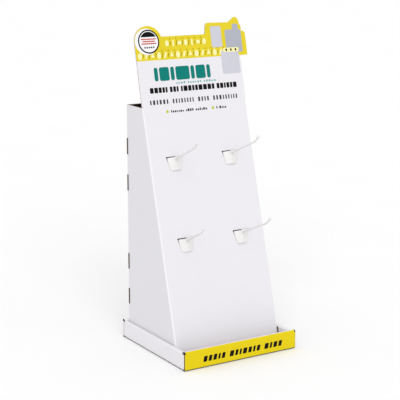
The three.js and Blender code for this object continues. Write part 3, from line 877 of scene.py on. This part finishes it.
@dataclass
class HeaderPrint:
    """The print on the header: motifs on the band, a round badge, plain cards, blocks and rows."""

    inks: InkMaterials
    motif_pitch: float = 15.5 * MM
    motif_rows: tuple[tuple[float, float, float], ...] = (
        (133.5 * MM, -52 * MM, 44 * MM), (109 * MM, -121 * MM, 96 * MM))
    badge: tuple[float, float] = (-96 * MM, 139.2 * MM)
    badge_radius: float = 25.5 * MM
    ring_width: float = 3 * MM
    dot_pitch: float = 12 * MM
    teal_left: float = -92 * MM
    teal_up: float = 69 * MM
    teal_height: float = 29 * MM
    teal_gap: float = 3.6 * MM
    teal_widths: tuple[float, ...] = (9, 24, 9, 34, 9, 24, 9)

    PALE_CARD = Patch(Ink.PALE_CARD, 27, 46, 3, 73, 142, 1)
    DARK_CARD = Patch(Ink.CARD, 42, 50, 4, 117, 131, 1)
    LOW_CARD = Patch(Ink.PALE_CARD, 46, 50, 4, 103, 85, 2)
    CREAM_STRIP = Patch(Ink.CREAM, 40, 9, 2, 107, 112, 3)
    SMALL_CARD = Patch(Ink.CARD, 15, 15, 3, 124, 160.5, 2)
    SOFT_ROW = BlockRow(Ink.SOFT_TEAL, -41, 59, 48.5, 4.4, (4, 6, 5), 0.62, seed=3, low_share=0.72)
    BOLD_ROW = BlockRow(Ink.BLACK, -107, 111, 35.4, 11.6, (5, 3, 9, 6), 0.74, seed=5)
    LIGHT_ROW = BlockRow(Ink.GREY, -110, 109, 10.2, 9.8, (6, 8, 4, 9), 0.44, seed=8)

    def motifs(self) -> bpy.types.Object:
        """Two rows of plain cream shapes on the band, clear of the badge and the cards."""
        sheet = InkSheet("band_motifs", HEADER, self.inks)
        egg = oval(9 * MM, 13 * MM, 16)
        wedge = oval(11 * MM, 15 * MM, 3, turn=math.pi / 2)
        peg = block(4 * MM, 14 * MM, 2 * MM)
        drop = oval(10 * MM, 15 * MM, 16, 2.0)
        brick = block(9 * MM, 8 * MM, 2.5 * MM)
        slanted = block(5 * MM, 12 * MM, 0.5 * MM, 0.3)
        shapes = (egg, wedge, peg, drop, brick, slanted)
        dot = oval(3 * MM, 3 * MM, 12)
        dot_rise = 9.4 * MM
        for row, (up, first, last) in enumerate(self.motif_rows):
            places = first + np.arange(int((last - first) / self.motif_pitch) + 1) * self.motif_pitch
            for i, x in enumerate(places):
                sheet.lay(Ink.CREAM, shapes[(2 * i + 3 * row) % len(shapes)], x, up)
            for i, x in enumerate(places[:-1] + self.motif_pitch / 2):
                dash = block(2.2 * MM, (9 + 3 * (i % 2)) * MM, 1 * MM, 0.25)
                sheet.lay(Ink.OLIVE, dash, x, up)
                sheet.lay(Ink.OLIVE, dot, x, up + dot_rise)
        return sheet.finish()

    def badge_print(self) -> bpy.types.Object:
        """A round badge: black ring, white field, a dark cap and three brick bars over a grey row."""
        sheet = InkSheet("badge_print", HEADER, self.inks)
        x, up = self.badge
        halo = self.badge_radius + 2.5 * MM
        inner = self.badge_radius - self.ring_width
        discs = ((Ink.WHITE, halo, x - 5 * MM), (Ink.BLACK, self.badge_radius, x), (Ink.WHITE, inner, x))
        for layer, (ink, radius, centre) in enumerate(discs, start=1):
            sheet.lay(ink, oval(2 * radius, 2 * radius, 48), centre, up, layer)
        top = len(discs) + 1
        t = np.linspace(math.radians(28), math.radians(152), 24)
        cap = (inner - 1.6 * MM) * np.stack([np.cos(t), np.sin(t)], axis=-1)
        sheet.lay(Ink.BLACK, cap, x, up, top)
        for i, width in enumerate((36, 30, 36)):
            sheet.lay(Ink.BRICK, block(width * MM, 2.6 * MM), x, up + (5.2 - 4.8 * i) * MM, top)
        for i in range(-2, 3):
            sheet.lay(Ink.GREY, block(3.6 * MM, 3.4 * MM, 0.6 * MM), x + i * 5.2 * MM, up - 12.5 * MM, top)
        return sheet.finish()

    def cards(self) -> bpy.types.Object:
        """Plain grey cards on the ear, with a row of dark dots on a cream strip."""
        sheet = InkSheet("card_print", HEADER, self.inks)
        for patch in (self.PALE_CARD, self.DARK_CARD, self.LOW_CARD, self.CREAM_STRIP, self.SMALL_CARD):
            sheet.patch(patch)
        strip = self.CREAM_STRIP
        for i in range(-1, 2):
            x = strip.x * MM + i * self.dot_pitch
            sheet.lay(Ink.BLACK, oval(4.6 * MM, 5.8 * MM, 16), x, strip.up * MM, strip.layer + 1)
        return sheet.finish()

    def blocks(self) -> bpy.types.Object:
        """The teal print: a run of plain blocks over a soft row."""
        sheet = InkSheet("teal_print", HEADER, self.inks)
        widths = np.array(self.teal_widths) * MM
        centres = self.teal_left + np.cumsum(widths + self.teal_gap) - self.teal_gap - widths / 2
        for width, centre in zip(widths, centres):
            sheet.lay(Ink.TEAL, block(width, self.teal_height, 4 * MM), centre, self.teal_up)
        sheet.row(self.SOFT_ROW)
        return sheet.finish()

    def rows(self) -> bpy.types.Object:
        """Two rows of greeked print under the blocks, one bold and one light."""
        sheet = InkSheet("row_print", HEADER, self.inks)
        sheet.row(self.BOLD_ROW)
        sheet.row(self.LIGHT_ROW)
        return sheet.finish()

    def build(self) -> None:
        """Makes every print of the header."""
        self.motifs()
        self.badge_print()
        self.cards()
        self.blocks()
        self.rows()


@dataclass
class PanelPrint:
    """The print on the front panel, under the header's crease, and on the tray's lip."""

    inks: InkMaterials
    below_crease: float = 11.2 * MM
    dot: float = 6.6 * MM
    dot_places: tuple[float, ...] = (-71 * MM, 43 * MM)

    LIP_ROW = BlockRow(Ink.BLACK, -94, 104, 19.2, 12.4, (5, 7, 4), 0.62, seed=21, slant=0.2)

    def bullets(self) -> bpy.types.Object:
        """Two dots at the top of the front panel, each with a small row beside it."""
        sheet = InkSheet("bullet_print", FRONT, self.inks)
        up = DISPLAY.front_length - self.below_crease
        for x in self.dot_places:
            sheet.lay(Ink.LIME, oval(self.dot, self.dot, 24), x, up)
        for left, right, words, seed in ((-62, 28, (7, 4, 6), 11), (52, 77, (1, 4), 12)):
            sheet.row(BlockRow(Ink.BLACK, left, right, up / MM, 5.6, words, 0.6, seed, low_share=0.72))
        return sheet.finish()

    def lip(self) -> bpy.types.Object:
        """A bold slanted row on the tray's lip."""
        sheet = InkSheet("lip_print", PanelFrame((0.0, -DISPLAY.tray.y, 0.0), 0.0), self.inks)
        sheet.row(self.LIP_ROW)
        return sheet.finish()

    def build(self) -> None:
        """Makes both prints."""
        self.bullets()
        self.lip()


# Hooks


def skin(rings: np.ndarray) -> tuple[np.ndarray, np.ndarray, list[tuple[int, ...]]]:
    """A closed skin over rings of equal length, with a flat cap on the first and the last.

    Args:
        rings: Array of shape (rings, points, 3), each ring anticlockwise about the way the rings go.

    Returns:
        Points, side faces and cap faces.
    """
    count, size = rings.shape[:2]
    last = (count - 1) * size
    caps = [tuple(range(size - 1, -1, -1)), tuple(range(last, last + size))]
    return rings.reshape(-1, 3), grid_faces(count, size), caps


@dataclass
class PegHook:
    """One moulded hook: tented hollow shield, keystone neck and flange, and a rod with a ball at its tip.

    Its own directions are across, up the front panel and out of it, from the middle of the plate's back.

    Args:
        node: The CAD node that it stands for.
        x: Place across the front panel.
        up: Height of the plate's middle up the front panel.
        skew: Sideways lean of the rod in degrees.
    """

    node: str
    x: float
    up: float
    skew: float
    top_width: float = 37 * MM
    bottom_width: float = 26 * MM
    height: float = 28 * MM
    corner: float = 2.5 * MM
    rim: float = 1.6 * MM
    soft_edge: float = 0.9 * MM
    wall: float = 1.6 * MM
    ridge_top: float = 8.5 * MM
    ridge_bottom: float = 5 * MM
    sharpness: float = 1.25
    rod_radius: float = 1.9 * MM
    rod_length: float = 101 * MM
    rod_rise: float = math.radians(23.2)
    root_drop: float = 5 * MM
    tip_length: float = 14 * MM
    tip_bend: float = math.radians(24)
    boss_radius: float = 3.4 * MM
    boss_length: float = 18.5 * MM
    ball: float = 3.3 * MM
    play: float = 0.3 * MM
    neck_bottom: float = -10.6 * MM
    neck_top: float = -1 * MM
    neck_half: tuple[float, float] = (11.7 * MM, 14.7 * MM)
    neck_wall: float = 2.2 * MM
    neck_play: float = 0.4 * MM
    flange: float = 2 * MM
    flange_overlap: float = 2.5 * MM
    cover_height: float = 1.8 * MM

    def plate_outline(self, inset: float) -> np.ndarray:
        """The plate's outline: a tapered block with quarter circles at its corners, drawn in by an inset.

        It starts at the middle of the top edge so that two of its points lie on the ridge.
        """
        half_height = self.height / 2 - inset
        corner = max(self.corner - inset, 0.4 * MM)
        turns = np.linspace(0, math.pi / 2, 7)
        low = corner * (1 - np.cos(turns)) - half_height
        sag = corner * (1 - np.sin(turns))
        straight = np.linspace(low[-1], -low[-1], 12)[1:-1]
        up = np.concatenate([low, straight, -low[::-1]])
        sag = np.concatenate([sag, np.zeros(len(straight)), sag[::-1]])
        half = self.half_width(up) - inset - sag
        edge = np.linspace(0, 1, 9)[:-1]
        right = np.stack([half, up], axis=-1)
        bottom = np.stack([edge * half[0], np.full(8, up[0])], axis=-1)
        top = np.stack([(1 - np.linspace(0, 1, 9)[1:-1]) * half[-1], np.full(7, up[-1])], axis=-1)
        east = np.concatenate([bottom, right, top])
        west = east[1:][::-1] * (-1, 1)
        crown = np.array([[0.0, up[-1]]])
        return np.concatenate([east, crown, west])

    def half_width(self, up: np.ndarray) -> np.ndarray:
        """Half of the plate's width at a height: it grows evenly from the bottom to the top."""
        rise = up / self.height + 0.5
        return (self.bottom_width + (self.top_width - self.bottom_width) * rise) / 2

    def tent(self, flat: np.ndarray) -> np.ndarray:
        """Height of the shield's face: rim + (ridge - rim) (1 - |t| ** sharpness), t across the plate."""
        t = np.clip(np.abs(flat[..., 0]) / self.half_width(flat[..., 1]), 0, 1)
        ridge = self.ridge_bottom + (self.ridge_top - self.ridge_bottom) * (flat[..., 1] / self.height + 0.5)
        return self.rim + (ridge - self.rim) * (1 - t ** self.sharpness)

    def shield(self) -> np.ndarray:
        """Loops of the hollow shield: out along its inside, round the rim, and back in over its face.

        Near the rim the face falls off by a quarter circle, which rounds the moulded edge.
        """
        inner, outer = self.plate_outline(self.wall), self.plate_outline(0.0)
        shares = np.linspace(0.02, 1, 11)[:, None, None]
        inside = inner[None] * shares
        inside = np.concatenate([inside, (self.tent(inside) - self.wall)[..., None]], axis=-1)
        inside[..., 2] = np.maximum(inside[..., 2], self.play + 0.1 * MM)
        feet = np.stack([np.column_stack([flat, np.full(len(flat), self.play)]) for flat in (inner, outer)])
        turns = np.linspace(0, math.pi / 2, 5)
        drawn = np.stack([self.plate_outline(self.soft_edge * (1 - math.cos(turn))) for turn in turns])
        drop = self.soft_edge * (1 - np.sin(turns))[:, None]
        edge = np.concatenate([drawn, (self.tent(drawn) - drop)[..., None]], axis=-1)
        face = drawn[-1][None] * np.linspace(1, 0.02, 12)[1:, None, None]
        face = np.concatenate([face, self.tent(face)[..., None]], axis=-1)
        return np.concatenate([inside, feet, edge, face])

    def rod(self) -> np.ndarray:
        """Rings of the boss, the rod and its ball along the rod's path.

        The radius falls from the boss to the rod by a squared cosine and ends in the ball's circle. The
        path rises evenly up to the knee, and there its rise grows smoothly by the tip's bend.
        """
        end = self.rod_length + self.tip_length
        along_boss = np.linspace(0, self.boss_length, 10)
        along_rod = np.linspace(self.boss_length, end - self.ball, 44)[1:]
        round_end = end + self.ball * np.sin(np.linspace(-0.88, math.pi / 2, 12))
        s = np.concatenate([along_boss, along_rod, round_end])
        fade = np.cos(np.clip(s / self.boss_length, 0, 1) * math.pi / 2) ** 2
        radius = self.rod_radius + (self.boss_radius - self.rod_radius) * fade
        ball_radius = np.sqrt(np.maximum(self.ball ** 2 - (round_end - end) ** 2, (0.03 * MM) ** 2))
        radius[-len(round_end):] = ball_radius
        bend = np.clip((s - self.rod_length + self.tip_length / 2) / self.tip_length, 0, 1)
        angle = self.rod_rise - DISPLAY.front_lean + self.tip_bend * bend * bend * (3 - 2 * bend)
        lean = math.radians(self.skew)
        level = np.cos(angle)
        heading = np.stack([math.sin(lean) * level, np.sin(angle), math.cos(lean) * level], axis=-1)
        steps = np.diff(s, prepend=s[0])
        root = (0, self.height / 2 - self.root_drop, self.rim + self.wall)
        path = root + np.cumsum(heading * steps[:, None], axis=0)
        side = np.array([math.cos(lean), 0.0, -math.sin(lean)])
        normal = np.cross(heading, side)
        t = np.linspace(0, 2 * math.pi, 20, endpoint=False)[None, :, None]
        spokes = np.cos(t) * side + np.sin(t) * normal[:, None, :]
        return path[:, None, :] + radius[:, None, None] * spokes

    def keystone(self, grow: float, back: float, front: float) -> np.ndarray:
        """Two rings of a U that follows the tapered cut-out: the neck, or the flange when it is grown.

        Args:
            grow: How much wider the U's outside is than the neck.
            back: Where it starts, out of the panel.
            front: Where it ends, out of the panel.

        Returns:
            Array of shape (2, 8, 3).
        """
        low, high = self.neck_half
        outside = [(low + grow, self.neck_bottom - grow), (high + grow, self.neck_top)]
        inside = [(high - self.neck_wall, self.neck_top),
                  (low - self.neck_wall, self.neck_bottom + self.neck_wall)]
        east = np.array(outside + inside)
        outline = np.concatenate([east, east[::-1] * (-1, 1)])
        return np.stack([np.column_stack([outline, np.full(len(outline), out)]) for out in (back, front)])

    def cover(self) -> np.ndarray:
        """Two rings of the low web on the plate's top edge, which covers the gap beside the ridge."""
        top, right = self.height / 2 + self.cover_height, self.top_width / 2
        foot = self.height / 2 - self.play - self.rim / 2
        outline = np.array([(1 * MM, foot), (right - self.corner, foot), (right, top), (2.5 * MM, top)])
        return np.stack([np.column_stack([outline, np.full(4, out)]) for out in (-self.rim, self.rim)])

    def build(self, material: bpy.types.Material) -> bpy.types.Object:
        """Makes the hook and lets it stand for its CAD node.

        Args:
            material: The hooks' plastic.

        Returns:
            The object.
        """
        behind = -self.play - BOARD.thickness
        grow = self.flange_overlap + self.neck_play
        parts = (self.shield(), self.rod(), self.cover(), self.keystone(0.0, behind, 1 * MM),
                 self.keystone(grow, behind - self.flange, behind))
        points, faces, count = [], [], 0
        for rings in parts:
            part_points, sides, caps = skin(rings)
            points.append(part_points)
            faces += [tuple(corner + count for corner in face) for face in sides.tolist() + caps]
            count += len(part_points)
        placed = FRONT.place(np.vstack(points) + (self.x, self.up, 0.0))
        made = add_mesh(f"{self.node}_moulding", placed, faces, [material], smooth=True)
        made.data.set_sharp_from_angle(angle=math.radians(38))
        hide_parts(self.node)
        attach(made, ROOT)
        LOG.info("%s: %d faces", made.name, len(faces))
        return made


@dataclass
class HookSet:
    """The four hooks, two across and two up, each with the skew in degrees that its rod has."""

    finish: PlasticFinish = field(default_factory=PlasticFinish)
    half_pitch: float = 70 * MM
    heights: dict[str, float] = field(default_factory=lambda: {"upper": 419 * MM, "lower": 245 * MM})
    skews: dict[str, float] = field(default_factory=lambda: {
        "upper_left": -4.4, "upper_right": 1.2, "lower_left": -10.5, "lower_right": 1.6})

    def build(self) -> None:
        """Makes the hooks in one shared plastic."""
        material = hook_material(self.finish)
        for place, skew in self.skews.items():
            level, side = place.split("_")
            x = self.half_pitch * (1 if side == "right" else -1)
            PegHook(f"hook_{place}", x, self.heights[level], skew).build(material)


# Board


@dataclass
class BoardParts:
    """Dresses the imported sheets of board."""

    effects: SharedEffects

    def build(self) -> None:
        """Gives each sheet its material."""
        materials = BoardMaterials(self.effects)
        dressed = {"display_body": materials.body(), "base_tray": materials.tray(),
                   "back_panel": materials.back_panel()}
        for name, material in dressed.items():
            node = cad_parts[name]
            node.data.materials.clear()
            node.data.materials.append(material)
            LOG.info("%s: dressed", name)


# Stage


@dataclass
class Studio:
    """Counter, lights and camera.

    Args:
        counter_size: Width of the pale counter.
        camera_place: Where the camera stands.
        azimuth: The camera's azimuth in degrees.
        elevation: The camera's elevation in degrees.
        lens: Focal length in millimetres on a 36 mm sensor.
    """

    counter_size: float = 30.0
    camera_place: tuple[float, float, float] = (-1.39074, -2.21316, 0.90418)
    azimuth: float = -31.767
    elevation: float = 12.572
    lens: float = 112.057
    world_level: float = 0.92
    key_level: float = 0.40
    key_azimuth: float = -28.0
    key_elevation: float = 34.0
    key_softness: float = 50.0

    def counter(self) -> None:
        """A wide pale counter with a faint cloudiness."""
        material, g, shader = principled("counter")
        point, _, _, _ = g.place()
        cloud = g.ramp(g.noise(point, 3.0, 3.0), 0.3, 0.7)
        g.feed(shader.inputs["Base Color"], g.mix(cloud, (0.868, 0.868, 0.868), (0.878, 0.878, 0.878)))
        shader.inputs["Roughness"].default_value = 0.9
        half = self.counter_size / 2
        t = np.linspace(-half, half, 9)
        x, y = np.meshgrid(t, t, indexing="ij")
        points = np.stack([x, y, np.zeros_like(x)], axis=-1).reshape(-1, 3)
        a = (np.arange(8)[:, None] * 9 + np.arange(8)[None, :]).reshape(-1)
        faces = np.stack([a, a + 9, a + 10, a + 1], axis=-1)
        add_mesh("counter", points, [tuple(face) for face in faces.tolist()], [material])

    def world(self) -> None:
        """Even white light from all round, seen as plain white."""
        world = bpy.data.worlds.new("studio")
        world.use_nodes = True
        background = world.node_tree.nodes["Background"]
        background.inputs["Color"].default_value = (1.0, 1.0, 1.0, 1.0)
        g = Graph(world.node_tree)
        seen = g.node("ShaderNodeLightPath").outputs["Is Camera Ray"]
        g.feed(background.inputs["Strength"], g.blend_values(seen, self.world_level, 1.0))
        bpy.context.scene.world = world

    def aim(self, data: bpy.types.ID, azimuth: float, elevation: float) -> bpy.types.Object:
        """Adds a light or camera that faces the display from an azimuth and elevation in degrees."""
        a, e = math.radians(azimuth), math.radians(elevation)
        back = Vector((math.sin(a) * math.cos(e), -math.cos(a) * math.cos(e), math.sin(e)))
        made = bpy.data.objects.new(data.name, data)
        made.rotation_mode = "QUATERNION"
        made.rotation_quaternion = (-back).to_track_quat("-Z", "Y")
        bpy.context.scene.collection.objects.link(made)
        return made

    def key(self) -> None:
        """A very broad soft sun from beside the camera."""
        data = bpy.data.lights.new("key", "SUN")
        data.energy = self.key_level * math.pi
        data.angle = math.radians(self.key_softness)
        self.aim(data, self.key_azimuth, self.key_elevation)

    def camera(self) -> None:
        """The camera at the photograph's place."""
        data = bpy.data.cameras.new("camera")
        data.sensor_width = 36.0
        data.lens = self.lens
        data.clip_end = 60.0
        made = self.aim(data, self.azimuth, self.elevation)
        made.location = self.camera_place
        bpy.context.scene.camera = made

    def build(self) -> None:
        """Sets up the stage."""
        self.counter()
        self.world()
        self.key()
        self.camera()
        scene = bpy.context.scene
        scene.view_settings.view_transform = "Standard"
        scene.view_settings.look = "None"


def main() -> None:
    """Builds the parts in order, then the stage."""
    logging.basicConfig(level=logging.INFO, format="%(name)s %(message)s")
    effects = SharedEffects()
    BoardParts(effects).build()
    HookSet().build()
    inks = InkMaterials(effects)
    HeaderPrint(inks).build()
    PanelPrint(inks).build()
    Studio().build()


if __name__ == "__main__":
    main()
